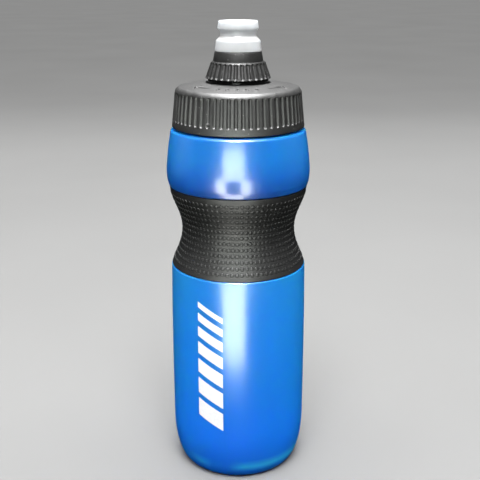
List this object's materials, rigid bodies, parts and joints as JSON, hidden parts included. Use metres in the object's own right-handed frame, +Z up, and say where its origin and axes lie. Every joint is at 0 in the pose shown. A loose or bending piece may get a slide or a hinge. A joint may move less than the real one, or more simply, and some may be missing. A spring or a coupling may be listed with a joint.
{
  "type": "sports squeeze bottle",
  "caption": "Translucent blue squeeze bottle with a dotted rubber waist grip, fluted black screw lid and twist-open white drinking spout.",
  "frame": {"origin": "centre of the foot ring's resting plane", "axes": "+Z up along the bottle's axis towards the spout; -Y towards the face that carries the printed mark"},
  "size_m": [0.0752, 0.0752, 0.2429],
  "materials": {
    "bottle_body": "translucent blue soft polyethylene, satin gloss",
    "grip_sleeve": "matte black rubber with rows of small raised dots",
    "lid_shell": "fine-textured black polypropylene",
    "lid_gasket": "smooth pale silicone",
    "valve_base": "glossy black plastic",
    "valve_gasket": "smooth black rubber",
    "collar_o_ring": "smooth black rubber",
    "twist_collar": "fine-textured black polypropylene",
    "spout": "soft white translucent silicone"
  },
  "bodies": {
    "bottle": {"bottle_body": "bottle_body", "grip_sleeve": "grip_sleeve"},
    "lid_seal": {"lid_gasket": "lid_gasket"},
    "lid": {"lid_shell": "lid_shell", "valve_base": "valve_base", "valve_gasket": "valve_gasket"},
    "collar_seal": {"collar_o_ring": "collar_o_ring"},
    "collar": {"twist_collar": "twist_collar", "spout": "spout"}
  },
  "joints": [
    {"name": "lid_rise", "type": "slide", "parent": "bottle", "child": "lid_seal", "axis": [0, 0, 1], "range_m": [0, 0.0241]},
    {"name": "lid_turn", "type": "hinge", "parent": "lid_seal", "child": "lid", "pos_m": [0, 0, 0.2], "axis": [0, 0, 1], "range_deg": [0, 1800]},
    {"name": "collar_rise", "type": "slide", "parent": "lid", "child": "collar_seal", "axis": [0, 0, 1], "range_m": [0, 0.00251]},
    {"name": "collar_turn", "type": "hinge", "parent": "collar_seal", "child": "collar", "pos_m": [0, 0, 0.218], "axis": [0, 0, 1], "range_deg": [0, 90]}
  ],
  "couplings": [
    {"joint": "lid_rise", "follows": "lid_turn", "m_per_rad": 0.00076394},
    {"joint": "collar_rise", "follows": "collar_turn", "m_per_rad": 0.0015915}
  ]
}
